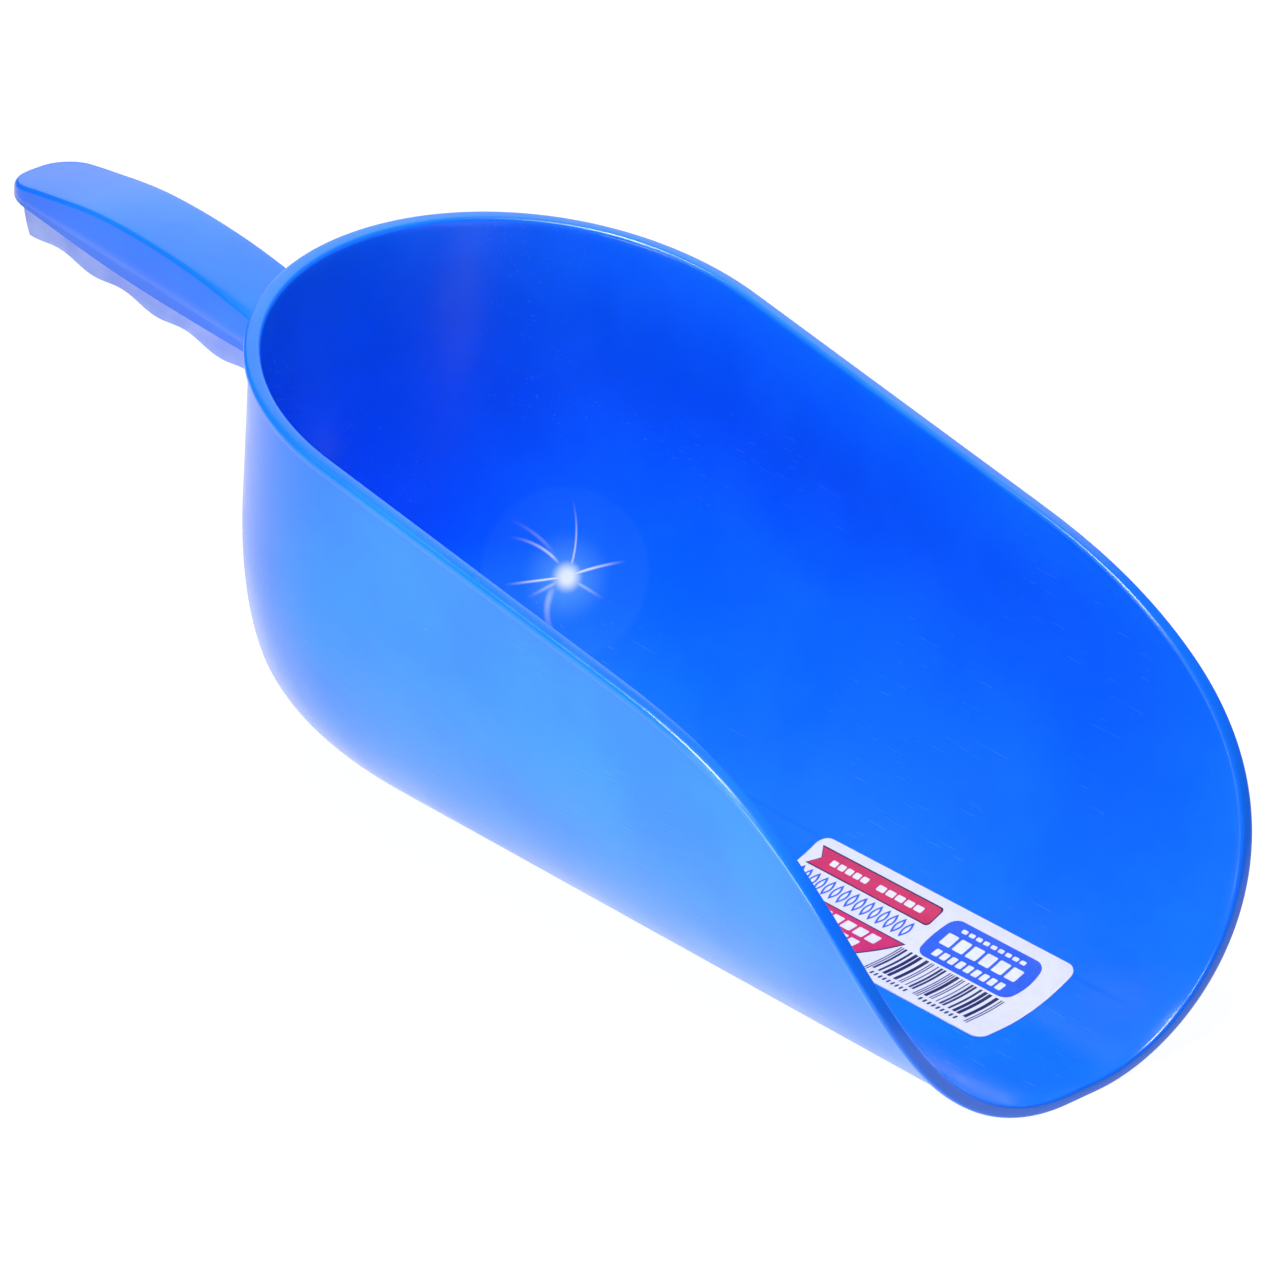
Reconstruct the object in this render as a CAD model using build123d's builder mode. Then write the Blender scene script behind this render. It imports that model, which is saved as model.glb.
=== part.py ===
from build123d import *
import os
from math import atan2, cos, pi, radians, sin, sqrt, tan

# Open round feed scoop: a moulded bowl with a hollow handle, a grip insert and a label.
# Millimetres. The origin is the middle of the flat strip that the scoop stands on,
# +X points out of the mouth and +Z up.

os.makedirs("parts", exist_ok=True)

# ---- Bowl ----
WALL = 3.0                 # moulded wall thickness
MOUTH_X = 125.3            # front edge of the floor
BACK_X = -83.5             # the straight sides end here and the rounded back begins
LOFT_FRONT_X = 140.0       # the sides are shaped on to here, before the mouth is cut
FLAT_HALF_WIDTH = 5.0      # half the flat strip under the bowl
SIDE_HALF_WIDTH = 76.6     # outer half width where the round bottom meets the sides
SIDE_HEIGHT = 89.0         # height of that meeting line
SIDE_DRAFT = 2.6           # degrees that the sides lean outward above it
BACK_FLAT = 47.0           # the flat strip runs this far into the rounded back
BACK_CORNER_X = 31.6       # depth of the rounded corner under the back
BACK_CORNER_Z = 36.0       # height of that corner
BACK_DRAFT = -2.8          # degrees that the back leans outward, so it leans in towards the rim
LOFT_TOP = 150.0           # the bowl is shaped up to this height, then trimmed to the rim
BOTTOM_ANGLES = (0, 12, 24, 36, 48, 60, 72)   # degrees round the curved bottom
UPPER_HEIGHTS = (78.0, 96.0, 114.0, 132.0, LOFT_TOP)

# ---- Rim ----
RIM_HEIGHT = 123.0         # rim height above BACK_X
RIM_SLOPE = -0.168         # rise of the rim for each millimetre towards the mouth
RIM_TURN_X = 22.8          # from here the rim curves down to the mouth
RIM_PULL_TOP = 25.8        # strength of the curve where it leaves the straight rim
RIM_PULL_FRONT = 89.6      # strength of the curve where it stands up from the floor
RIM_FOOT = -2.0            # the rim's curve stands up from this height, just under the floor
LIP_OUT = 1.5              # the lip stands out this far from the wall
LIP_DEPTH = 2.6            # depth of the lip below the rim

# ---- Handle shell, moulded in one with the bowl ----
HANDLE_HALF_WIDTH = 12.5
HANDLE_WALL = 2.4
HANDLE_ROOT_X = -157.3     # buried in the bowl's back wall
HANDLE_TOP = ((-281.8, 106.6), (-265.0, 109.3), (-240.0, 111.8), (-211.0, 110.3), (-184.0, 105.6),
              (-150.0, 97.0))
JOINT_LINE = ((-281.8, 104.0), (-277.2, 103.4), (-236.0, 97.6), (-200.0, 94.9), (-150.0, 92.6))
HANDLE_TOP_ROUND = 1.2
HANDLE_END_ROUND = 10.0
RIB_THICK = 2.0            # cross ribs inside the shell, above the insert
RIB_XS = (-250.0, -222.0, -194.0)
RIB_CLEARANCE = 0.3        # gap between a rib and the insert

# ---- Grip insert, pushed up into the handle shell ----
INSERT_CLEARANCE = 0.1
INSERT_RISE = 1.0          # how far the insert reaches up into the shell
INSERT_WALL = 2.4
INSERT_CORE_ROOT_X = -163.5     # the insert is hollow up to here
INSERT_END_X = -271.5      # free end of the grip edge; the insert's top ends under the second
                           # point of the joint line
GRIP_END_HEIGHTS = (94.3, 83.6)  # grip edge at the free end and at the bowl
GRIP_PITCH = 25.3          # one finger
GRIP_WAVE = 0.8            # half the height of a finger hump
GRIP_STEPS = 36
GRIP_ROUND = 2.4

# ---- Label ----
LABEL_THICK = 0.2
LABEL_LENGTH = 92.4
LABEL_WIDTH = 36.7         # seen from above; the label follows the curved floor
LABEL_CENTRE = (45.2, 14.3)
LABEL_CORNER = 3.5
LABEL_TURN = 0.6           # degrees that it is stuck on crooked

CUT = 200.0                # larger than the bowl, for cutting shapes


def wall_reach(rise, flat, reach, depth, draft):
    """Reach of a wall, rise above its flat strip, that curves up and then leans outward.

    The curve is part of an ellipse, reach wide and depth high. It ends where its slope has
    come round to the draft angle, and the lean goes on from there without a break. With a
    draft below zero the wall curves on past its widest place and leans inward.
    """
    end_angle = atan2(reach, depth * tan(radians(draft)))
    end_rise = depth * (1 - cos(end_angle))
    if rise >= end_rise:
        return flat + reach * sin(end_angle) + (rise - end_rise) * tan(radians(draft))
    return flat + reach * sqrt(max(0.0, 1 - (1 - rise / depth) ** 2))


def bowl_solid(inset, grow=0.0):
    """A filled bowl: a straight trough with a rounded back, lofted from plan outlines.

    Its surface lies inset inside the outer one, and its outlines are widened by grow.
    """
    side_reach = SIDE_HALF_WIDTH - FLAT_HALF_WIDTH - inset
    side_depth = SIDE_HEIGHT - inset
    rises = [side_depth * (1 - cos(radians(angle))) for angle in BOTTOM_ANGLES]
    rises.extend(height - inset for height in UPPER_HEIGHTS)
    with BuildPart() as bowl:
        for rise in rises:
            half = grow + wall_reach(rise, FLAT_HALF_WIDTH, side_reach, side_depth, SIDE_DRAFT)
            back = grow + wall_reach(rise, BACK_FLAT, BACK_CORNER_X - inset,
                                     BACK_CORNER_Z - inset, BACK_DRAFT)
            with BuildSketch(Plane.XY.offset(inset + rise)):
                with BuildLine():
                    EllipticalCenterArc((BACK_X, 0), back, half, start_angle=90, arc_size=180)
                    Line((BACK_X, -half), (LOFT_FRONT_X, -half))
                    Line((LOFT_FRONT_X, -half), (LOFT_FRONT_X, half))
                    Line((LOFT_FRONT_X, half), (BACK_X, half))
                make_face()
        loft()
    return bowl.part


def below_rim(inset):
    """Everything below the rim, as a wide block whose top follows a line inset under the rim."""
    slope_length = sqrt(1 + RIM_SLOPE ** 2)
    down = (RIM_SLOPE * inset / slope_length, -inset / slope_length)
    turn_z = RIM_HEIGHT + RIM_SLOPE * (RIM_TURN_X - BACK_X)
    rear_z = RIM_HEIGHT + RIM_SLOPE * (-CUT - BACK_X)
    turn = (RIM_TURN_X + down[0], turn_z + down[1])
    rear = (-CUT + down[0], rear_z + down[1])
    front_x = MOUTH_X - inset
    with BuildPart() as block:
        with BuildSketch(Plane.XZ):
            with BuildLine():
                Line(rear, turn)
                Bezier(turn,
                       (turn[0] + RIM_PULL_TOP, turn[1] + RIM_PULL_TOP * RIM_SLOPE),
                       (front_x, RIM_FOOT + RIM_PULL_FRONT),
                       (front_x, RIM_FOOT))
                Polyline((front_x, RIM_FOOT), (front_x, -CUT), (rear[0], -CUT), rear)
            make_face()
        extrude(amount=CUT, both=True)
    return block.part


def side_solid(top, bottom, half_width):
    """A block between two curves that run from the handle's free end to its root."""
    with BuildPart() as solid:
        with BuildSketch(Plane.XZ):
            with BuildLine():
                Spline(*top)
                Line(top[-1], bottom[-1])
                Spline(*reversed(bottom))
                Line(bottom[0], top[0])
            make_face()
        extrude(amount=half_width, both=True)
    return solid.part


def handle_solid(drop, inset):
    """The handle above its joint line, shrunk by inset, with the joint line lowered by drop."""
    top = [(x, z - inset) for x, z in HANDLE_TOP]
    joint = [(x, z - drop) for x, z in JOINT_LINE]
    top[0] = (top[0][0] + inset, top[0][1])
    joint[0] = (joint[0][0] + inset, joint[0][1])
    with BuildPart() as solid:
        add(side_solid(top, joint, HANDLE_HALF_WIDTH - inset))
        fillet(solid.edges().filter_by(Axis.Z).group_by(Axis.X)[0], HANDLE_END_ROUND - inset)
    return solid.part


def grip_edge():
    """The wavy lower edge of the grip, from the free end to the bowl."""
    start = INSERT_END_X
    length = HANDLE_TOP[-1][0] - start
    points = []
    for step in range(GRIP_STEPS + 1):
        along = length * step / GRIP_STEPS
        trend = GRIP_END_HEIGHTS[0] + (GRIP_END_HEIGHTS[1] - GRIP_END_HEIGHTS[0]) * along / length
        points.append((start + along, trend - GRIP_WAVE * cos(2 * pi * along / GRIP_PITCH)))
    return points


def insert_solid(lift, inset, root_x):
    """The grip insert, filled, from its free end to root_x.

    It is shrunk by inset, with its top face lifted by lift.
    """
    top = [(x, z + INSERT_RISE + lift) for x, z in JOINT_LINE[1:]]
    edge = [(x, z + inset) for x, z in grip_edge()]
    top[0] = (top[0][0] + inset, top[0][1])
    edge[0] = (edge[0][0] + inset, edge[0][1])
    half_width = HANDLE_HALF_WIDTH - HANDLE_WALL - INSERT_CLEARANCE - inset
    with BuildPart() as solid:
        add(side_solid(top, edge, half_width))
        split(bisect_by=Plane.YZ.offset(root_x), keep=Keep.BOTTOM)
    return solid.part


# ---- Scoop body: bowl, lip and handle shell in one moulding ----
outer_bowl = bowl_solid(0)
inner_bowl = bowl_solid(WALL)

handle_core = handle_solid(SIDE_HEIGHT, HANDLE_WALL)

with BuildPart() as ribs:
    add(handle_solid(0, HANDLE_WALL / 2))
    with BuildSketch(Plane.XY):
        with Locations(*[(x, 0) for x in RIB_XS]):
            Rectangle(RIB_THICK, CUT)
    extrude(amount=CUT, mode=Mode.INTERSECT)
    add(insert_solid(RIB_CLEARANCE, -HANDLE_WALL, BACK_X), mode=Mode.SUBTRACT)

with BuildPart() as handle:
    add(handle_solid(0, 0))
    top_face = handle.faces().sort_by(Axis.Z)[-1]
    top_edges = top_face.edges().sort_by(Axis.X)[:-1]
    fillet(top_edges, HANDLE_TOP_ROUND)
    add(handle_core, mode=Mode.SUBTRACT)
    split(bisect_by=Plane.YZ.offset(HANDLE_ROOT_X), keep=Keep.BOTTOM)
    add(ribs.part)

with BuildPart() as lip:
    add(bowl_solid(0, LIP_OUT))
    add(below_rim(0), mode=Mode.INTERSECT)
    add(below_rim(LIP_DEPTH), mode=Mode.SUBTRACT)
    add(inner_bowl, mode=Mode.SUBTRACT)

with BuildPart() as scoop_body:
    add(outer_bowl)
    add(below_rim(LIP_DEPTH), mode=Mode.INTERSECT)
    add(inner_bowl, mode=Mode.SUBTRACT)
    add(lip.part)
    add(handle.part)

scoop_body.part.label = "scoop_body"
export_step(scoop_body.part, "parts/scoop_body.step")

# ---- Grip insert, with its end corners rounded to fit inside the shell ----
with BuildPart() as grip_insert:
    add(insert_solid(0, 0, BACK_X))
    curved_faces = grip_insert.faces().filter_by(GeomType.PLANE, reverse=True)
    grip_face = curved_faces.sort_by(Axis.Z)[0]
    fillet(grip_face.edges().filter_by(GeomType.BSPLINE), GRIP_ROUND)
    add(handle_solid(SIDE_HEIGHT, HANDLE_WALL + INSERT_CLEARANCE), mode=Mode.INTERSECT)
    add(insert_solid(SIDE_HEIGHT, INSERT_WALL, INSERT_CORE_ROOT_X), mode=Mode.SUBTRACT)
    add(bowl_solid(-INSERT_CLEARANCE), mode=Mode.SUBTRACT)

grip_insert.part.label = "grip_insert"
export_step(grip_insert.part, "parts/grip_insert.step")

# ---- Label, lying on the curved floor ----
with BuildPart() as label:
    add(inner_bowl)
    add(bowl_solid(WALL + LABEL_THICK), mode=Mode.SUBTRACT)
    with BuildSketch(Plane.XY):
        with Locations(Location((LABEL_CENTRE[0], LABEL_CENTRE[1], 0), (0, 0, LABEL_TURN))):
            RectangleRounded(LABEL_LENGTH, LABEL_WIDTH, LABEL_CORNER)
    extrude(amount=SIDE_HEIGHT / 2, mode=Mode.INTERSECT)

label.part.label = "label"
export_step(label.part, "parts/label.step")
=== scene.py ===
from math import atan2, cos, pi, radians, sin, sqrt, tan

import bmesh
import bpy
from mathutils import Matrix, Vector


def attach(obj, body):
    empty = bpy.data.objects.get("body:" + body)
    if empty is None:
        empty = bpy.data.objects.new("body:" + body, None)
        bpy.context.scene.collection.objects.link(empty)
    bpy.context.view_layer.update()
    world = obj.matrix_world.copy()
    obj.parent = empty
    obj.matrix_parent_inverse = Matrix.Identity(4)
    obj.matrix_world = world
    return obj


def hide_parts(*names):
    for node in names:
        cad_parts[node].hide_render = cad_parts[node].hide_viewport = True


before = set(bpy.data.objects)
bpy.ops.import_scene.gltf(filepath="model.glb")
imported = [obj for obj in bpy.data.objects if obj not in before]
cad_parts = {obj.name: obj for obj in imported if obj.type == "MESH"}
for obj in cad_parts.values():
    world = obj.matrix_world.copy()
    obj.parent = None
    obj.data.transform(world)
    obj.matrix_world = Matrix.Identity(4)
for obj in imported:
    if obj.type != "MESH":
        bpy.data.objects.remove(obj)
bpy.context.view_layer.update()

# Lengths are in millimetres in the shape formulas and are turned into metres as meshes are made.
MM = 0.001

# ---- Camera ----
VIEW_AZIMUTH = radians(44.013)
VIEW_ELEVATION = radians(28.241)
VIEW_ROLL = radians(-3.54)
VIEW_PIVOT = Vector((-0.0255, 0.0, 0.0475))
VIEW_DISTANCE = 3.0801
VIEW_OFFSET = (0.0104, -0.01902)
SENSOR = 36.0
LENS = 9.207 * SENSOR
CLIP_END = 20.0

# ---- Bowl, as in the CAD ----
WALL = 3.0
MOUTH_X = 125.3
BACK_X = -83.5
FLAT_HALF_WIDTH = 5.0
SIDE_REACH = 71.6
SIDE_HEIGHT = 89.0
SIDE_DRAFT = 2.6
BACK_FLAT = 47.0
BACK_CORNER_X = 31.6
BACK_CORNER_Z = 36.0
BACK_DRAFT = -2.8
RIM_HEIGHT = 123.0
RIM_SLOPE = -0.168
RIM_TURN_X = 22.8
RIM_PULL_TOP = 25.8
RIM_PULL_FRONT = 89.6
RIM_FOOT = -2.0
LIP_OUT = 1.5
LIP_DEPTH = 2.6

# ---- Two hair lines raised on the floor, one each side ----
RIDGE_SHARE = 0.0655       # their height up the wall, as a share of the wall
RIDGE_STEP = 0.0018
RIDGE_HEIGHT = 0.16
RIDGE_LEAN = 0.48
RIDGE_START = -48.0
RIDGE_END = 117.0
RIDGE_FADE = 14.0

# ---- How finely the bowl is divided ----
WALL_ROWS = 84
STRIP_ROWS = 3
BACK_COLUMNS = 120
SIDE_COLUMNS = 14
MOUTH_COLUMNS = 30
ARC_STEPS = 3000           # steps for measuring round the wall's section
RIM_HALVINGS = 40          # halvings to find the curved rim at a height
RIM_PASSES = 6             # passes to find the straight rim's height over the rounded back

# ---- Handle shell, as in the CAD ----
HANDLE_HALF_WIDTH = 12.5
HANDLE_WALL = 2.4
HANDLE_ROOT_X = -157.3
HANDLE_END_X = -281.8
HANDLE_TOP = ((-281.8, 106.6), (-265.0, 109.3), (-240.0, 111.8), (-211.0, 110.3), (-184.0, 105.6),
              (-150.0, 97.0))
JOINT_LINE = ((-281.8, 104.0), (-277.2, 103.4), (-236.0, 97.6), (-200.0, 94.9), (-150.0, 92.6))
HANDLE_TOP_ROUND = 1.2
HANDLE_END_ROUND = 10.0
HANDLE_CROWN = 0.4
BEND_STEPS = 5
INNER_BEND = 0.2           # round of the inner skin's top edge
TOP_SHARES = (0.2, 0.4, 0.6, 0.8, 1.0)     # rows from the top's edge to its centre line


# ---------------------------------------------------------------- helpers

JOIN_DISTANCE = 0.000004   # points closer than this, in metres, are one point


def wall_reach(rise, flat, reach, depth, draft):
    """Reach of a wall, rise above its flat strip, that curves up and then runs straight.

    A positive draft leans the straight part outward, and a negative one leans it inward.
    """
    end_angle = atan2(reach, depth * tan(radians(draft)))
    end_rise = depth * (1 - cos(end_angle))
    if rise >= end_rise:
        return flat + reach * sin(end_angle) + (rise - end_rise) * tan(radians(draft))
    return flat + reach * sqrt(max(0.0, 1 - (1 - rise / depth) ** 2))


def mesh_object(name, points, faces, materials, smooth=True):
    """A mesh object from points in millimetres, with points that coincide joined."""
    mesh = bpy.data.meshes.new(name)
    mesh.from_pydata([Vector(point) * MM for point in points], [], faces)
    work = bmesh.new()
    work.from_mesh(mesh)
    bmesh.ops.remove_doubles(work, verts=work.verts, dist=JOIN_DISTANCE)
    bmesh.ops.dissolve_degenerate(work, edges=work.edges, dist=JOIN_DISTANCE)
    bmesh.ops.recalc_face_normals(work, faces=work.faces)
    for face in work.faces:
        face.smooth = smooth
    work.to_mesh(mesh)
    work.free()
    for material in materials:
        mesh.materials.append(material)
    piece = bpy.data.objects.new(name, mesh)
    bpy.context.scene.collection.objects.link(piece)
    return piece


def grid_faces(start, rows, columns):
    """Quads over a grid of points stored row by row from index start."""
    faces = []
    for row in range(rows - 1):
        for column in range(columns - 1):
            corner = start + row * columns + column
            faces.append((corner, corner + 1, corner + columns + 1, corner + columns))
    return faces


class Patches:
    """Grids of points that join into one surface."""

    def __init__(self):
        self.points = []
        self.faces = []

    def add(self, grid):
        self.faces.extend(grid_faces(len(self.points), len(grid), len(grid[0])))
        for row in grid:
            self.points.extend(row)


# ---------------------------------------------------------------- camera

def make_camera():
    """The camera looks back along a direction given by azimuth and elevation, then rolls."""
    back = Vector((sin(VIEW_AZIMUTH) * cos(VIEW_ELEVATION),
                   -cos(VIEW_AZIMUTH) * cos(VIEW_ELEVATION),
                   sin(VIEW_ELEVATION)))
    level = Vector((cos(VIEW_AZIMUTH), sin(VIEW_AZIMUTH), 0.0))
    lift = back.cross(level)
    right = level * cos(VIEW_ROLL) - lift * sin(VIEW_ROLL)
    up = level * sin(VIEW_ROLL) + lift * cos(VIEW_ROLL)
    place = VIEW_PIVOT - right * VIEW_OFFSET[0] - up * VIEW_OFFSET[1] + back * VIEW_DISTANCE
    data = bpy.data.cameras.new("camera")
    data.sensor_width = SENSOR
    data.lens = LENS
    data.clip_end = CLIP_END
    camera = bpy.data.objects.new("camera", data)
    camera.matrix_world = Matrix((
        (right.x, up.x, back.x, place.x),
        (right.y, up.y, back.y, place.y),
        (right.z, up.z, back.z, place.z),
        (0.0, 0.0, 0.0, 1.0)))
    bpy.context.scene.collection.objects.link(camera)
    bpy.context.scene.camera = camera


make_camera()

# ---------------------------------------------------------------- bowl surface


def side_half(height, inset):
    """Half width of the bowl at a height, inset inside the outer surface."""
    return wall_reach(height - inset, FLAT_HALF_WIDTH, SIDE_REACH - inset,
                      SIDE_HEIGHT - inset, SIDE_DRAFT)


def back_reach(height, inset):
    """How far the rounded back reaches behind BACK_X at a height."""
    return wall_reach(height - inset, BACK_FLAT, BACK_CORNER_X - inset,
                      BACK_CORNER_Z - inset, BACK_DRAFT)


class RimLine:
    """The rim seen from the side, moved into the wall by drop."""

    def __init__(self, drop):
        length = sqrt(1 + RIM_SLOPE ** 2)
        self.turn_x = RIM_TURN_X + RIM_SLOPE * drop / length
        turn_z = RIM_HEIGHT + RIM_SLOPE * (RIM_TURN_X - BACK_X)
        self.turn_z = turn_z - drop / length
        self.curve = ((self.turn_x, self.turn_z),
                      (self.turn_x + RIM_PULL_TOP, self.turn_z + RIM_PULL_TOP * RIM_SLOPE),
                      (MOUTH_X - drop, RIM_FOOT + RIM_PULL_FRONT),
                      (MOUTH_X - drop, RIM_FOOT))

    def height(self, x):
        """Height of the straight part of the rim."""
        return self.turn_z + RIM_SLOPE * (x - self.turn_x)

    def on_curve(self, t, axis):
        """A coordinate of the curved part of the rim."""
        a, b, c, d = (point[axis] for point in self.curve)
        s = 1 - t
        return s ** 3 * a + 3 * s ** 2 * t * b + 3 * s * t ** 2 * c + t ** 3 * d

    def reach(self, height):
        """How far forward the curved part of the rim is at a height."""
        low, high = 0.0, 1.0
        for _ in range(RIM_HALVINGS):
            middle = (low + high) / 2
            if self.on_curve(middle, 1) > height:
                low = middle
            else:
                high = middle
        return self.on_curve(low, 0)


def fade(value, start):
    """0 up to start, rising smoothly to 1 over RIDGE_FADE beyond it."""
    share = min(1.0, max(0.0, (value - start) / RIDGE_FADE))
    return share * share * (3 - 2 * share)


def bowl_point(line, column, row, inset, grow):
    """A point of the bowl's surface.

    column is ("back", angle), ("side", share, side) or ("mouth", share, side). row is
    ("strip", share) on the flat strip or ("wall", share of the height up to the rim) above it,
    and a third item marks the row that is lifted into the hair line.
    """
    kind = column[0]
    strip = row[1] if row[0] == "strip" else 1.0
    rise = row[1] if row[0] == "wall" else 0.0
    if kind == "back":
        top = RIM_HEIGHT
        for _ in range(RIM_PASSES):
            reach = back_reach(top, inset) + grow
            top = line.height(BACK_X - reach * sin(column[1]))
        height = inset + (top - inset) * rise
        reach = (back_reach(height, inset) + grow) * strip
        half = (side_half(height, inset) + grow) * strip
        return (BACK_X - reach * sin(column[1]), half * cos(column[1]), height)
    if kind == "side":
        x = BACK_X + (line.turn_x - BACK_X) * column[1]
        height = inset + (line.height(x) - inset) * rise
    else:
        height = inset + (line.turn_z - inset) * rise
        x = line.turn_x + (line.reach(height) - line.turn_x) * column[1]
    half = (side_half(height, inset) + grow) * strip
    if row[0] == "wall" and len(row) > 2 and inset == WALL:
        lift = RIDGE_HEIGHT * fade(x, RIDGE_START) * fade(-x, -RIDGE_END)
        half -= lift * RIDGE_LEAN
        height += lift
    return (x, half * column[2], height)


def wall_shares():
    """Shares of the wall's height for rows spaced evenly round its section."""
    top = RIM_HEIGHT + RIM_SLOPE * (RIM_TURN_X - BACK_X)
    lengths = [0.0]
    heights = [0.0]
    place = (FLAT_HALF_WIDTH, 0.0)
    for step in range(1, ARC_STEPS + 1):
        height = top * (step / ARC_STEPS) ** 2
        new = (side_half(height, 0.0), height)
        lengths.append(lengths[-1] + sqrt((new[0] - place[0]) ** 2 + (new[1] - place[1]) ** 2))
        heights.append(height)
        place = new
    shares = []
    step = 0
    for row in range(WALL_ROWS + 1):
        wanted = lengths[-1] * row / WALL_ROWS
        while step < ARC_STEPS and lengths[step] < wanted:
            step += 1
        shares.append(heights[step] / top)
    shares[-1] = 1.0
    return shares


RIDGE_ROWS = [("wall", RIDGE_SHARE - RIDGE_STEP), ("wall", RIDGE_SHARE, "ridge"),
              ("wall", RIDGE_SHARE + RIDGE_STEP)]
ROWS = [("strip", row / STRIP_ROWS) for row in range(STRIP_ROWS)]
ROWS += sorted([("wall", share) for share in wall_shares()] + RIDGE_ROWS, key=lambda row: row[1])
COLUMNS = [("side", 1 - column / SIDE_COLUMNS, -1) for column in range(SIDE_COLUMNS)]
COLUMNS += [("back", pi - pi * column / BACK_COLUMNS) for column in range(BACK_COLUMNS + 1)]
COLUMNS += [("side", (column + 1) / SIDE_COLUMNS, 1) for column in range(SIDE_COLUMNS)]
# The line round the rim: up one side of the mouth, round the back, and down the other side.
RIM_STATIONS = [(("mouth", 1.0, -1), row) for row in ROWS]
RIM_STATIONS += [(column, ROWS[-1]) for column in COLUMNS[1:-1]]
RIM_STATIONS += [(("mouth", 1.0, 1), row) for row in reversed(ROWS)]

# The lip's section: how far inside the outer wall, and how far below the rim.
INNER_DROP = 1.0
RIM_SECTION = ((3.0, INNER_DROP), (2.92, 0.62), (2.71, 0.29), (2.38, 0.08), (2.0, 0.0),
               (1.2, 0.04), (0.2, 0.12), (-0.5, 0.2), (-0.9, 0.33), (-1.25, 0.6), (-1.45, 0.95),
               (-LIP_OUT, 1.35), (-LIP_OUT, 1.9), (-1.45, 2.25), (-1.3, 2.5), (-1.05, LIP_DEPTH),
               (-0.35, LIP_DEPTH), (-0.1, 2.68), (0.0, 2.9))
OUTER_DROP = RIM_SECTION[-1][1]


def wall_patches(patches, inset, drop):
    """The inner or outer surface of the bowl, up to a line below the rim."""
    line = RimLine(drop)
    patches.add([[bowl_point(line, column, row, inset, 0.0) for column in COLUMNS]
                 for row in ROWS])
    for side in (-1, 1):
        patches.add([[bowl_point(line, ("mouth", column / MOUTH_COLUMNS, side), row, inset, 0.0)
                      for column in range(MOUTH_COLUMNS + 1)] for row in ROWS])


def make_bowl():
    patches = Patches()
    wall_patches(patches, WALL, INNER_DROP)
    wall_patches(patches, 0.0, OUTER_DROP)
    rim = []
    for inset, drop in RIM_SECTION:
        line = RimLine(drop)
        rim.append([bowl_point(line, column, row, max(inset, 0.0), max(-inset, 0.0))
                    for column, row in RIM_STATIONS])
    patches.add(rim)
    return mesh_object("scoop_bowl", patches.points, patches.faces, [])


# ---------------------------------------------------------------- handle surface


def along(points, x):
    """A smooth line through points, at x."""
    last = len(points) - 2
    span = 0
    while span < last and x > points[span + 1][0]:
        span += 1

    def slope(index):
        low = points[max(index - 1, 0)]
        high = points[min(index + 1, len(points) - 1)]
        return (high[1] - low[1]) / (high[0] - low[0])

    x0, z0 = points[span]
    x1, z1 = points[span + 1]
    t = (x - x0) / (x1 - x0)
    width = x1 - x0
    return ((1 + 2 * t) * (1 - t) ** 2 * z0 + t * (1 - t) ** 2 * width * slope(span)
            + t * t * (3 - 2 * t) * z1 + t * t * (t - 1) * width * slope(span + 1))


def handle_outline(steps_along=40, steps_round=14, steps_end=4):
    """Stations round the handle in plan: place, and direction outward."""
    corner_x = HANDLE_END_X + HANDLE_END_ROUND
    corner_y = HANDLE_HALF_WIDTH - HANDLE_END_ROUND
    stations = []
    for side in (-1, 1):
        run = []
        for step in range(steps_along):
            x = HANDLE_ROOT_X + (corner_x - HANDLE_ROOT_X) * step / steps_along
            run.append(((x, side * HANDLE_HALF_WIDTH), (x, side * corner_y), (x, 0.0)))
        for step in range(steps_round + 1):
            angle = pi / 2 * step / steps_round
            reach = HANDLE_END_ROUND
            run.append(((corner_x - reach * sin(angle), side * (corner_y + reach * cos(angle))),
                        (corner_x, side * corner_y), (corner_x, 0.0)))
        for step in range(1, steps_end + 1):
            y = side * corner_y * (1 - step / steps_end)
            run.append(((HANDLE_END_X, y), (corner_x, y), (corner_x, 0.0)))
        stations.append(run)
    return stations[0] + stations[1][-2::-1]


def handle_rows(inset):
    """Section of the handle from its joint line over the top: distance inward, and height rule."""
    rows = [(inset, "side", 0.0), (inset, "side", 0.5), (inset, "side", 1.0)]
    bend = HANDLE_TOP_ROUND - inset if inset < HANDLE_TOP_ROUND else INNER_BEND
    for step in range(1, BEND_STEPS + 1):
        angle = pi / 2 * step / BEND_STEPS
        rows.append((inset + bend * (1 - cos(angle)), "bend", bend * (1 - sin(angle))))
    for share in TOP_SHARES:
        rows.append((inset + bend, "top", share))
    return rows, bend


def handle_grid(inset):
    rows, bend = handle_rows(inset)
    grid = []
    for distance, rule, value in rows:
        line = []
        for edge, corner, middle in handle_outline():
            share = distance / HANDLE_END_ROUND
            x = edge[0] + (corner[0] - edge[0]) * share
            y = edge[1] + (corner[1] - edge[1]) * share
            if rule == "top":
                x += (middle[0] - x) * value
                y += (middle[1] - y) * value
            crown = HANDLE_CROWN * (1 - (y / HANDLE_HALF_WIDTH) ** 2)
            top = along(HANDLE_TOP, x) - inset
            foot = along(JOINT_LINE, x)
            if rule == "side":
                z = foot + (top - bend - foot) * value
            elif rule == "bend":
                z = top - value + crown * (1 - value / bend)
            else:
                z = top + crown
            line.append((x, y, z))
        grid.append(line)
    return grid


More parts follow.
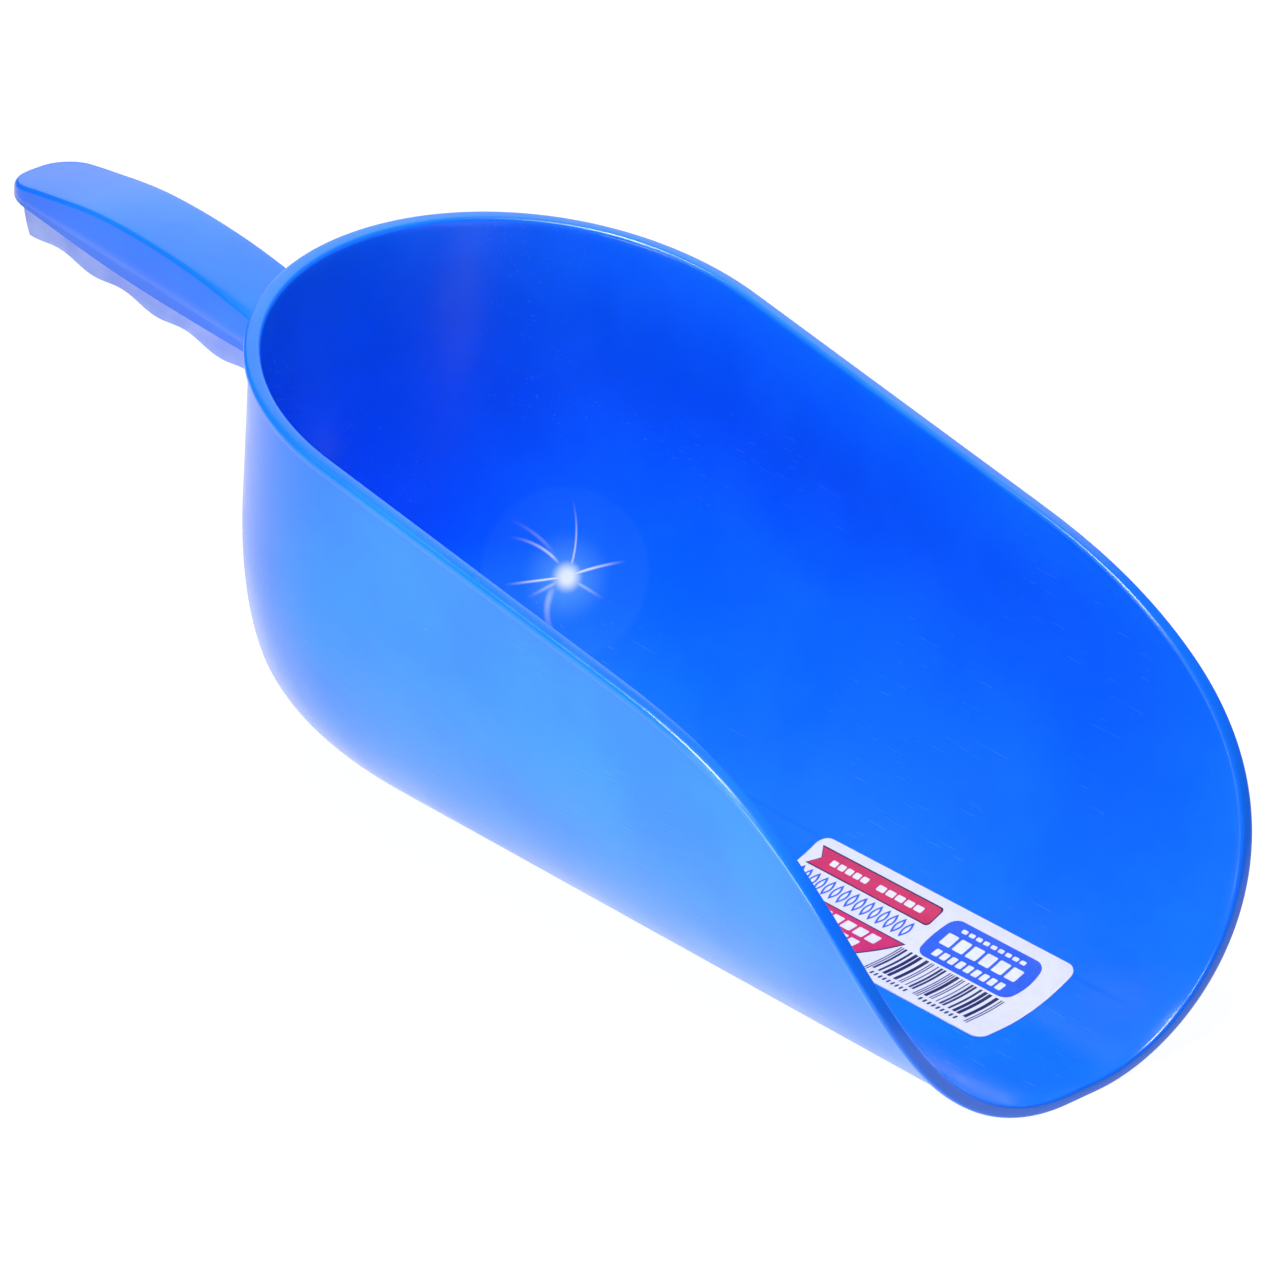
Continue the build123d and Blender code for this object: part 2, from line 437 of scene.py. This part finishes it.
def make_handle():
    """The hollow handle shell: an outer and an inner skin joined along the foot and at the root."""
    patches = Patches()
    outer = handle_grid(0.0)
    inner = handle_grid(HANDLE_WALL)
    patches.add(outer)
    patches.add(inner)
    patches.add([outer[0], inner[0]])
    for end in (0, -1):
        patches.add([[row[end] for row in outer], [row[end] for row in inner]])
    return mesh_object("handle_shell", patches.points, patches.faces, [])


bowl = make_bowl()
handle = make_handle()


def join_solids(piece, other):
    """Unites other with piece, and removes other."""
    modifier = piece.modifiers.new("join", "BOOLEAN")
    modifier.operation = "UNION"
    modifier.solver = "EXACT"
    modifier.object = other
    bpy.context.view_layer.update()
    result = bpy.data.meshes.new_from_object(
        piece.evaluated_get(bpy.context.evaluated_depsgraph_get()))
    piece.modifiers.clear()
    piece.data = result
    bpy.data.objects.remove(other)


join_solids(bowl, handle)
bowl.name = "scoop_moulding"
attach(bowl, "root")
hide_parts("scoop_body")

# ---------------------------------------------------------------- material nodes


class Nodes:
    """Short calls for building a material's nodes."""

    def __init__(self, name):
        self.material = bpy.data.materials.new(name)
        self.material.use_nodes = True
        self.tree = self.material.node_tree
        self.shader = self.tree.nodes["Principled BSDF"]
        self.place = self.tree.nodes.new("ShaderNodeTexCoord").outputs["Object"]

    def link(self, source, socket):
        """Joins an output to a socket, or sets the socket to a plain value."""
        if isinstance(source, bpy.types.NodeSocket):
            self.tree.links.new(source, socket)
        else:
            socket.default_value = source

    def math(self, operation, first, second=0.0, third=0.0):
        node = self.tree.nodes.new("ShaderNodeMath")
        node.operation = operation
        for socket, value in zip(node.inputs, (first, second, third)):
            self.link(value, socket)
        return node.outputs[0]

    def vector(self, operation, first, second, result="Vector"):
        node = self.tree.nodes.new("ShaderNodeVectorMath")
        node.operation = operation
        self.link(first, node.inputs[0])
        self.link(second, node.inputs[1])
        return node.outputs[result]

    def noise(self, scale, detail=3.0, stretch=(1.0, 1.0, 1.0), rough=0.55):
        node = self.tree.nodes.new("ShaderNodeTexNoise")
        self.link(self.vector("MULTIPLY", self.place, stretch), node.inputs["Vector"])
        node.inputs["Scale"].default_value = scale
        node.inputs["Detail"].default_value = detail
        node.inputs["Roughness"].default_value = rough
        return node.outputs["Fac"]

    def cells(self, scale):
        """Distance to the nearest of many scattered points, and that point's own colour."""
        node = self.tree.nodes.new("ShaderNodeTexVoronoi")
        self.link(self.place, node.inputs["Vector"])
        node.inputs["Scale"].default_value = scale
        return node.outputs["Distance"], node.outputs["Color"]

    def ramp(self, value, low, high, start=0.0, end=1.0):
        """value rising from start at low to end at high."""
        node = self.tree.nodes.new("ShaderNodeMapRange")
        node.interpolation_type = "SMOOTHSTEP"
        for socket, number in zip(node.inputs, (value, low, high, start, end)):
            self.link(number, socket)
        return node.outputs[0]

    def mix(self, share, first, second):
        node = self.tree.nodes.new("ShaderNodeMix")
        node.data_type = "RGBA"
        self.link(share, node.inputs["Factor"])
        self.link(first, node.inputs["A"])
        self.link(second, node.inputs["B"])
        return node.outputs["Result"]

    def bump(self, height, distance, strength=1.0, below=None):
        node = self.tree.nodes.new("ShaderNodeBump")
        node.inputs["Strength"].default_value = strength
        node.inputs["Distance"].default_value = distance
        self.link(height, node.inputs["Height"])
        if below is not None:
            self.link(below, node.inputs["Normal"])
        return node.outputs["Normal"]

    def finish(self, color, roughness, normal):
        self.link(color, self.shader.inputs["Base Color"])
        self.link(roughness, self.shader.inputs["Roughness"])
        self.link(normal, self.shader.inputs["Normal"])
        return self.material


# ---- A painted glint low in the far back corner: a painted highlight with painted rays, a painted glow and a painted ring of reflected light ----
GLINT_CENTRE = Vector((-0.1186, 0.0500, 0.0321))
GLINT_ACROSS = Vector((0.930, 0.367, 0.0))
GLINT_UP = Vector((-0.188, 0.476, 0.859))
# Each painted ray of the glint: angle in degrees, curl in degrees for each millimetre, start and
# end in millimetres from the spot, half width in millimetres, strength.
GLINT_RAYS = ((82.0, 0.76, 5.0, 22.0, 0.45, 0.75), (34.0, -0.38, 2.0, 18.0, 0.6, 0.9),
              (-15.0, 0.0, 2.0, 13.0, 0.7, 0.4), (201.0, 0.0, 2.0, 18.0, 0.55, 0.9),
              (221.0, 0.0, 2.0, 13.0, 0.8, 0.4), (131.0, 1.5, 8.0, 20.0, 0.7, 0.8),
              (127.0, 1.0, 15.0, 23.0, 0.8, 0.35), (-144.0, 3.6, 8.0, 18.0, 1.6, 0.35))
GLINT_SPOT = 0.0050
GLINT_GLOW = 0.0140
GLINT_RING = 0.0230
HALO_SOFTNESS = 0.002


def glint_ray(nodes, angle, distance, line):
    """Mask of one painted ray of the glint, which curls as it leaves the spot and fades along its
    length.
    """
    start_angle, curl, start, end, half, strength = line
    turned = nodes.math("MULTIPLY_ADD", distance, -radians(curl) / MM, -radians(start_angle))
    phase = nodes.math("ADD", angle, turned)
    aside = nodes.math("ABSOLUTE", nodes.math("MULTIPLY", nodes.math("SINE", phase), distance))
    ahead = nodes.math("MULTIPLY", nodes.math("COSINE", phase), distance)
    thin = nodes.ramp(aside, 0.0, half * MM, strength, 0.0)
    begun = nodes.ramp(ahead, start * MM * 0.4, start * MM)
    over = nodes.ramp(ahead, end * MM * 0.3, end * MM, 1.0, 0.0)
    return nodes.math("MULTIPLY", nodes.math("MULTIPLY", thin, begun), over)


def painted_glint(nodes):
    """Masks of the painted glint: its bright spot with painted rays, its painted glow, and the disc
    inside a painted ring of reflected light.
    """
    away = nodes.vector("SUBTRACT", nodes.place, GLINT_CENTRE)
    across = nodes.vector("DOT_PRODUCT", away, GLINT_ACROSS, "Value")
    up = nodes.vector("DOT_PRODUCT", away, GLINT_UP, "Value")
    distance = nodes.vector("LENGTH", away, (0.0, 0.0, 0.0), "Value")
    angle = nodes.math("ARCTAN2", up, across)
    star = nodes.ramp(distance, GLINT_SPOT * 0.2, GLINT_SPOT, 1.0, 0.0)
    for line in GLINT_RAYS:
        star = nodes.math("MAXIMUM", star, glint_ray(nodes, angle, distance, line))
    glow = nodes.ramp(distance, 0.0, GLINT_GLOW, 1.0, 0.0)
    inside = nodes.ramp(distance, GLINT_RING, GLINT_RING + HALO_SOFTNESS, 1.0, 0.0)
    return star, glow, inside


def specks(nodes, scale, size, share):
    """Small scattered specks: only some of the scattered points carry one."""
    distance, color = nodes.cells(scale)
    chosen = nodes.ramp(color, 1.0 - share, 1.0 - share + 0.02)
    return nodes.math("MULTIPLY", nodes.ramp(distance, size * 0.5, size, 1.0, 0.0), chosen)


def scratches(nodes, stretch, scale, low, high):
    """Fine scuffs stretched along one direction, in patches."""
    lines = nodes.ramp(nodes.noise(scale, 2.0, stretch), low, high)
    patches = nodes.ramp(nodes.noise(16.0, 2.0), 0.5, 0.62)
    return nodes.math("MULTIPLY", lines, patches)


BLUE = (0.006, 0.165, 0.95, 1.0)
DEEP_BLUE = (0.003, 0.140, 0.90, 1.0)
PALE_BLUE = (0.10, 0.36, 1.0, 1.0)
DARK_SPECK = (0.002, 0.03, 0.30, 1.0)
# The next two colours are painted light: the glint's painted glow, and its painted bright spot and
# rays.
GLINT_GLOW_BLUE = (0.22, 0.62, 1.0, 1.0)
GLINT_WHITE = (0.92, 0.98, 1.0, 1.0)


def body_plastic():
    """Glossy blue moulded plastic: clouded colour, specks, scuffs along the bowl, and a painted
    glint with painted rays, glow and ring of reflected light.
    """
    nodes = Nodes("body_plastic")
    cloud = nodes.ramp(nodes.noise(22.0, 4.0), 0.35, 0.68)
    color = nodes.mix(cloud, DEEP_BLUE, BLUE)
    color = nodes.mix(specks(nodes, 190.0, 0.045, 0.05), color, DARK_SPECK)
    color = nodes.mix(specks(nodes, 150.0, 0.05, 0.035), color, PALE_BLUE)
    scuffs = scratches(nodes, (0.05, 1.0, 1.0), 1500.0, 0.66, 0.74)
    color = nodes.mix(nodes.math("MULTIPLY", scuffs, 0.04), color, PALE_BLUE)
    star, glow, inside = painted_glint(nodes)
    # Painted highlight: a faint painted ring of reflected light, a painted glow, and the painted
    # glint with its rays.
    color = nodes.mix(nodes.math("MULTIPLY", inside, 0.06), color, PALE_BLUE)
    color = nodes.mix(nodes.math("MULTIPLY", glow, 0.40), color, GLINT_GLOW_BLUE)
    color = nodes.mix(star, color, GLINT_WHITE)
    roughness = nodes.ramp(nodes.noise(30.0, 4.0), 0.3, 0.7, 0.19, 0.27)
    roughness = nodes.math("ADD", roughness, nodes.math("MULTIPLY", scuffs, 0.12))
    roughness = nodes.math("SUBTRACT", roughness, nodes.math("MULTIPLY", inside, 0.05))
    skin = nodes.bump(nodes.noise(1600.0, 2.0), 0.00003, 0.5)
    skin = nodes.bump(nodes.noise(17.0, 1.0), 0.0009, 0.35, skin)
    skin = nodes.bump(scuffs, 0.00001, 0.4, skin)
    skin = nodes.bump(inside, 0.0002, 0.35, skin)
    skin = nodes.bump(star, 0.0003, 0.5, skin)
    return nodes.finish(color, roughness, skin)


GRIP_BLUE = (0.33, 0.42, 0.86, 1.0)
GRIP_SHADE = (0.22, 0.31, 0.80, 1.0)


def grip_plastic():
    """Paler plastic of the insert, satin from handling; its paleness is partly a painted reflection
    of the white floor.
    """
    nodes = Nodes("grip_plastic")
    color = nodes.mix(nodes.ramp(nodes.noise(60.0, 4.0), 0.35, 0.7), GRIP_SHADE, GRIP_BLUE)
    color = nodes.mix(specks(nodes, 260.0, 0.05, 0.06), color, DARK_SPECK)
    roughness = nodes.ramp(nodes.noise(80.0, 3.0), 0.3, 0.7, 0.3, 0.42)
    skin = nodes.bump(nodes.noise(1400.0, 2.0), 0.00004, 0.6)
    return nodes.finish(color, roughness, skin)


def film(name, color, shade):
    """Printed film: colour mottled towards a shade, with a faint grain."""
    nodes = Nodes(name)
    mottle = nodes.ramp(nodes.noise(420.0, 3.0), 0.4, 0.75, 0.0, 0.6)
    tone = nodes.mix(mottle, color, shade)
    roughness = nodes.ramp(nodes.noise(120.0, 3.0), 0.3, 0.7, 0.3, 0.4)
    skin = nodes.bump(nodes.noise(900.0, 2.0), 0.00002, 0.5)
    return nodes.finish(tone, roughness, skin)


bowl.data.materials.clear()
bowl.data.materials.append(body_plastic())
grip_material = grip_plastic()
for material_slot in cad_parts["grip_insert"].material_slots:
    material_slot.material = grip_material

# ---------------------------------------------------------------- label

LABEL_LENGTH = 92.2
LABEL_WIDTH = 38.0
LABEL_THICK = 0.2
LABEL_CORNER = 3.5
LABEL_X = 45.2
LABEL_ARC = 15.1           # middle of the label, measured round the floor from the centre line
LABEL_TURN = radians(0.56)
FLOOR_STEPS = 400          # steps for measuring round the floor
FLOOR_ANGLE = 0.8          # the label ends well before this angle of the curve, in radians
PRINT_SUNK = LABEL_THICK - 0.01            # the inks start just inside the film
PRINT_LIFTS = tuple(LABEL_THICK + step for step in (0.012, 0.02, 0.028))


def floor_table():
    """Places round the inside of the floor: length round it, angle of the curve."""
    table = [(FLAT_HALF_WIDTH, 0.0)]
    wide = SIDE_REACH - WALL
    deep = SIDE_HEIGHT - WALL
    for step in range(1, FLOOR_STEPS + 1):
        angle = FLOOR_ANGLE * step / FLOOR_STEPS
        middle = FLOOR_ANGLE * (step - 0.5) / FLOOR_STEPS
        rate = sqrt((wide * cos(middle)) ** 2 + (deep * sin(middle)) ** 2)
        table.append((table[-1][0] + rate * FLOOR_ANGLE / FLOOR_STEPS, angle))
    return table


FLOOR_TABLE = floor_table()


def on_floor(x, arc, lift):
    """A point at a length round the floor from its centre line, lifted off the surface."""
    side = 1.0 if arc >= 0 else -1.0
    arc = abs(arc)
    if arc <= FLAT_HALF_WIDTH:
        return (x, side * arc, WALL + lift)
    index = 1
    while FLOOR_TABLE[index][0] < arc:
        index += 1
    low, high = FLOOR_TABLE[index - 1], FLOOR_TABLE[index]
    angle = low[1] + (high[1] - low[1]) * (arc - low[0]) / (high[0] - low[0])
    wide = SIDE_REACH - WALL
    deep = SIDE_HEIGHT - WALL
    across, rise = wide * cos(angle), deep * sin(angle)
    length = sqrt(across ** 2 + rise ** 2)
    y = FLAT_HALF_WIDTH + wide * sin(angle) - lift * rise / length
    z = WALL + deep * (1 - cos(angle)) + lift * across / length
    return (x, side * y, z)


def on_label(u, v, lift):
    """A point of the label: u from its rear end, v from its near edge, lifted off the floor."""
    p = u - LABEL_LENGTH / 2
    q = v - LABEL_WIDTH / 2
    return on_floor(LABEL_X + p * cos(LABEL_TURN) - q * sin(LABEL_TURN),
                    LABEL_ARC + p * sin(LABEL_TURN) + q * cos(LABEL_TURN), lift)


def add_sheet(patches, rows, low, high, columns=2):
    """A thin closed sheet on the label. rows are (v, first u, last u)."""
    top = [[on_label(a + (b - a) * k / columns, v, high) for k in range(columns + 1)]
           for v, a, b in rows]
    foot = [[on_label(a + (b - a) * k / columns, v, low) for k in range(columns + 1)]
            for v, a, b in rows]
    patches.add(top)
    patches.add(foot)
    for end in (0, -1):
        patches.add([top[end], foot[end]])
        patches.add([[row[end] for row in top], [row[end] for row in foot]])


def rounded_rows(u0, u1, v0, v1, corner, steps=6, step=1.2):
    """Rows of a rectangle with rounded corners."""
    heights = [v0 + corner * (1 - cos(pi / 2 * k / steps)) for k in range(steps + 1)]
    count = max(1, int((v1 - v0 - 2 * corner) / step))
    heights += [v0 + corner + (v1 - v0 - 2 * corner) * k / count for k in range(1, count)]
    heights += [v1 - corner * (1 - cos(pi / 2 * k / steps)) for k in range(steps, -1, -1)]
    rows = []
    for v in heights:
        gap = max(0.0, corner - min(v - v0, v1 - v))
        pull = corner - sqrt(max(0.0, corner ** 2 - gap ** 2))
        rows.append((v, u0 + pull, u1 - pull))
    return rows


def ribbon_rows(grow):
    """Rows of the banner: a notched rear end and a rounded front end."""
    u0, u1, v0, v1 = 2.6 - grow, 46.4 + grow, 28.4 - grow, 34.8 + grow
    rows = []
    for v, _, last in rounded_rows(u0, u1, v0, v1, 1.2, 4, 0.7):
        notch = 2.6 * (1 - abs(v - (v0 + v1) / 2) / ((v1 - v0) / 2))
        rows.append((v, u0 + notch, last))
    return rows


def block_rows(grow):
    """Rows of the lower crimson block, whose front edge slants."""
    u0, v0, v1 = 2.2 - grow, 7.6 - grow, 19.0 + grow
    rows = []
    for v, first, _ in rounded_rows(u0, 40.0, v0, v1, 0.8, 3, 1.0):
        rows.append((v, first, 40.5 + grow + (v - v0) * 0.52))
    return rows


def badge_rows():
    """Rows of the badge: a rectangle whose sides bulge."""
    v0, v1 = 18.8, 34.4
    rows = []
    for v, first, last in rounded_rows(51.6, 83.4, v0, v1, 2.6, 5, 1.0):
        bulge = 1.4 * (1 - ((v - (v0 + v1) / 2) / ((v1 - v0) / 2)) ** 2)
        rows.append((v, first - bulge, last + bulge))
    return rows


def lens_rows(u, v0, v1, half):
    """Rows of one standing grain."""
    rows = []
    for k in range(11):
        share = k / 10
        rows.append((v0 + (v1 - v0) * share, u - half * sin(pi * share) - 0.01,
                     u + half * sin(pi * share) + 0.01))
    return rows


def dashes(patches, u0, u1, v0, v1, count, gap, lift):
    """A line of plain dashes, where a label has words."""
    pitch = (u1 - u0) / count
    for k in range(count):
        first = u0 + pitch * k
        add_sheet(patches, rounded_rows(first, first + pitch - gap, v0, v1, min(0.35, gap), 2),
                  PRINT_SUNK, lift, 1)


# Lines of dashes on the coloured blocks: first and last u, low and high v, count, gap.
BLOCK_DASHES = ((8.5, 22.5, 30.6, 32.6, 5, 0.6), (25.5, 42.5, 30.6, 32.6, 5, 0.6),
                (6.0, 41.5, 14.0, 17.4, 8, 0.9), (6.0, 38.5, 9.2, 12.4, 8, 0.9),
                (56.0, 79.5, 31.2, 32.5, 9, 0.7), (53.5, 81.5, 25.2, 29.6, 6, 1.0),
                (55.0, 80.5, 20.6, 23.4, 9, 0.8))
GRAIN_COUNT = 15
GRAIN_FIRST = 3.2
GRAIN_PITCH = 2.85
SHADE = 0.82               # an ink's mottling is this much darker than the ink


def make_label():
    """The sheet, and its printing in four inks: frames, blocks, dashes and a bar pattern."""
    sheet = Patches()
    add_sheet(sheet, rounded_rows(0.0, LABEL_LENGTH, 0.0, LABEL_WIDTH, LABEL_CORNER, 10, 0.8),
              0.0, LABEL_THICK, 8)
    navy, crimson, blue, white = Patches(), Patches(), Patches(), Patches()
    for shape in (ribbon_rows, block_rows):
        add_sheet(navy, shape(0.4), PRINT_SUNK, PRINT_LIFTS[0])
        add_sheet(crimson, shape(0.0), PRINT_SUNK, PRINT_LIFTS[1])
    for k in range(GRAIN_COUNT):
        u = GRAIN_FIRST + GRAIN_PITCH * k
        add_sheet(blue, lens_rows(u, 20.6, 27.2, 1.15), PRINT_SUNK, PRINT_LIFTS[0])
        add_sheet(white, lens_rows(u, 21.9, 25.9, 0.55), PRINT_SUNK, PRINT_LIFTS[1])
    add_sheet(blue, badge_rows(), PRINT_SUNK, PRINT_LIFTS[1], 6)
    for line in BLOCK_DASHES:
        dashes(white, *line, PRINT_LIFTS[2])
    add_bars(navy)
    paper = film("label_film", (0.66, 0.67, 0.75, 1), (0.60, 0.61, 0.70, 1))
    sheet = mesh_object("label_sheet", sheet.points, sheet.faces, [paper], False)
    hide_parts("label")
    inks = ((navy, "label_navy", (0.010, 0.012, 0.06, 1)),
            (crimson, "label_crimson", (0.56, 0.022, 0.10, 1)),
            (blue, "label_blue", (0.014, 0.10, 0.66, 1)),
            (white, "label_white", (0.70, 0.72, 0.80, 1)))
    pieces = [sheet]
    for patches, name, color in inks:
        shade = tuple(part * SHADE for part in color[:3]) + (1.0,)
        pieces.append(mesh_object(name, patches.points, patches.faces,
                                  [film(name, color, shade)], False))
    for piece in pieces:
        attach(piece, "root")


BAR_FIRST = 47.0
BAR_LAST = 84.2
BAR_MODULES = 95
BAR_MODULE = (BAR_LAST - BAR_FIRST) / BAR_MODULES
GUARD_MODULES = ((0, 3), (45, 50), (92, 95))    # guard bars stand at both ends and in the middle
BAR_TOP = 18.0
BAR_FOOT = 5.4
GUARD_FOOT = 3.6
BAR_ROWS = 8


def add_bars(patches):
    """A bar pattern that codes nothing: guard bars, and bars of one to three modules between."""
    place = 0
    index = 0
    while place < BAR_MODULES:
        guard = any(low <= place < high for low, high in GUARD_MODULES)
        width = 1 if guard else 1 + (index * index + index // 3) % 3
        first = BAR_FIRST + place * BAR_MODULE
        foot = GUARD_FOOT if guard else BAR_FOOT
        rows = [(foot + (BAR_TOP - foot) * k / BAR_ROWS, first, first + width * BAR_MODULE)
                for k in range(BAR_ROWS + 1)]
        add_sheet(patches, rows, PRINT_SUNK, PRINT_LIFTS[0], 1)
        place += width + (1 if guard else 1 + (index * 5 + 1) % 3)
        index += 1
    dashes(patches, BAR_FIRST + 3.0, BAR_FIRST + 16.5, 2.6, 4.3, 9, 0.8, PRINT_LIFTS[0])
    dashes(patches, BAR_FIRST + 20.5, BAR_FIRST + 34.5, 2.6, 4.3, 9, 0.8, PRINT_LIFTS[0])


make_label()

# ---------------------------------------------------------------- studio

WORLD_STRENGTH = 0.06
FLOOR_HALF = 3.0
FLOOR_GLOW = 0.96          # the floor gives most of its own light, so it stays white all over


def area_light(name, place, target, size, power, spread=pi):
    """A square soft light at place that points at target."""
    data = bpy.data.lights.new(name, "AREA")
    data.size = size
    data.energy = power
    data.spread = spread
    light = bpy.data.objects.new(name, data)
    light.location = place
    light.rotation_euler = (Vector(target) - Vector(place)).to_track_quat("-Z", "Y").to_euler()
    bpy.context.scene.collection.objects.link(light)


def make_world():
    world = bpy.data.worlds.new("studio")
    world.use_nodes = True
    background = world.node_tree.nodes["Background"]
    background.inputs[0].default_value = (1.0, 1.0, 1.0, 1.0)
    background.inputs[1].default_value = WORLD_STRENGTH
    bpy.context.scene.world = world
    bpy.context.scene.view_settings.view_transform = "Standard"


def make_floor():
    """A plain white floor."""
    mesh = bpy.data.meshes.new("floor")
    corners = [(-FLOOR_HALF, -FLOOR_HALF, 0), (FLOOR_HALF, -FLOOR_HALF, 0),
               (FLOOR_HALF, FLOOR_HALF, 0), (-FLOOR_HALF, FLOOR_HALF, 0)]
    mesh.from_pydata(corners, [], [(0, 1, 2, 3)])
    floor = bpy.data.objects.new("floor", mesh)
    bpy.context.scene.collection.objects.link(floor)
    nodes = Nodes("floor")
    nodes.shader.inputs["Base Color"].default_value = (0.10, 0.10, 0.10, 1.0)
    nodes.shader.inputs["Roughness"].default_value = 0.9
    nodes.shader.inputs["Emission Color"].default_value = (1.0, 1.0, 1.0, 1.0)
    nodes.shader.inputs["Emission Strength"].default_value = FLOOR_GLOW
    mesh.materials.append(nodes.material)


make_world()
make_floor()
area_light("overhead", (0.0, 0.0, 0.9), (0.0, 0.0, 0.0), 0.3, 4.6)
area_light("overhead_far", (0.0, 0.1, 2.8), (0.0, 0.0, 0.0), 0.4, 22.0)
area_light("near_side", (0.1, -0.6, 1.3), (0.0, 0.0, 0.0), 0.2, 4.5)
area_light("rear_near", (-0.3, -0.2, 1.4), (0.0, 0.0, 0.0), 0.2, 3.5)
area_light("near_low", (0.05, -0.42, 0.05), (0.02, -0.08, 0.05), 0.25, 0.8, radians(100))
area_light("backdrop", (-1.0, 1.05, 0.78), (0.0, 0.0, 0.05), 1.3, 6.2)
area_light("lamp", (-0.15, -0.92, 0.58), GLINT_CENTRE, 0.08, 0.8)
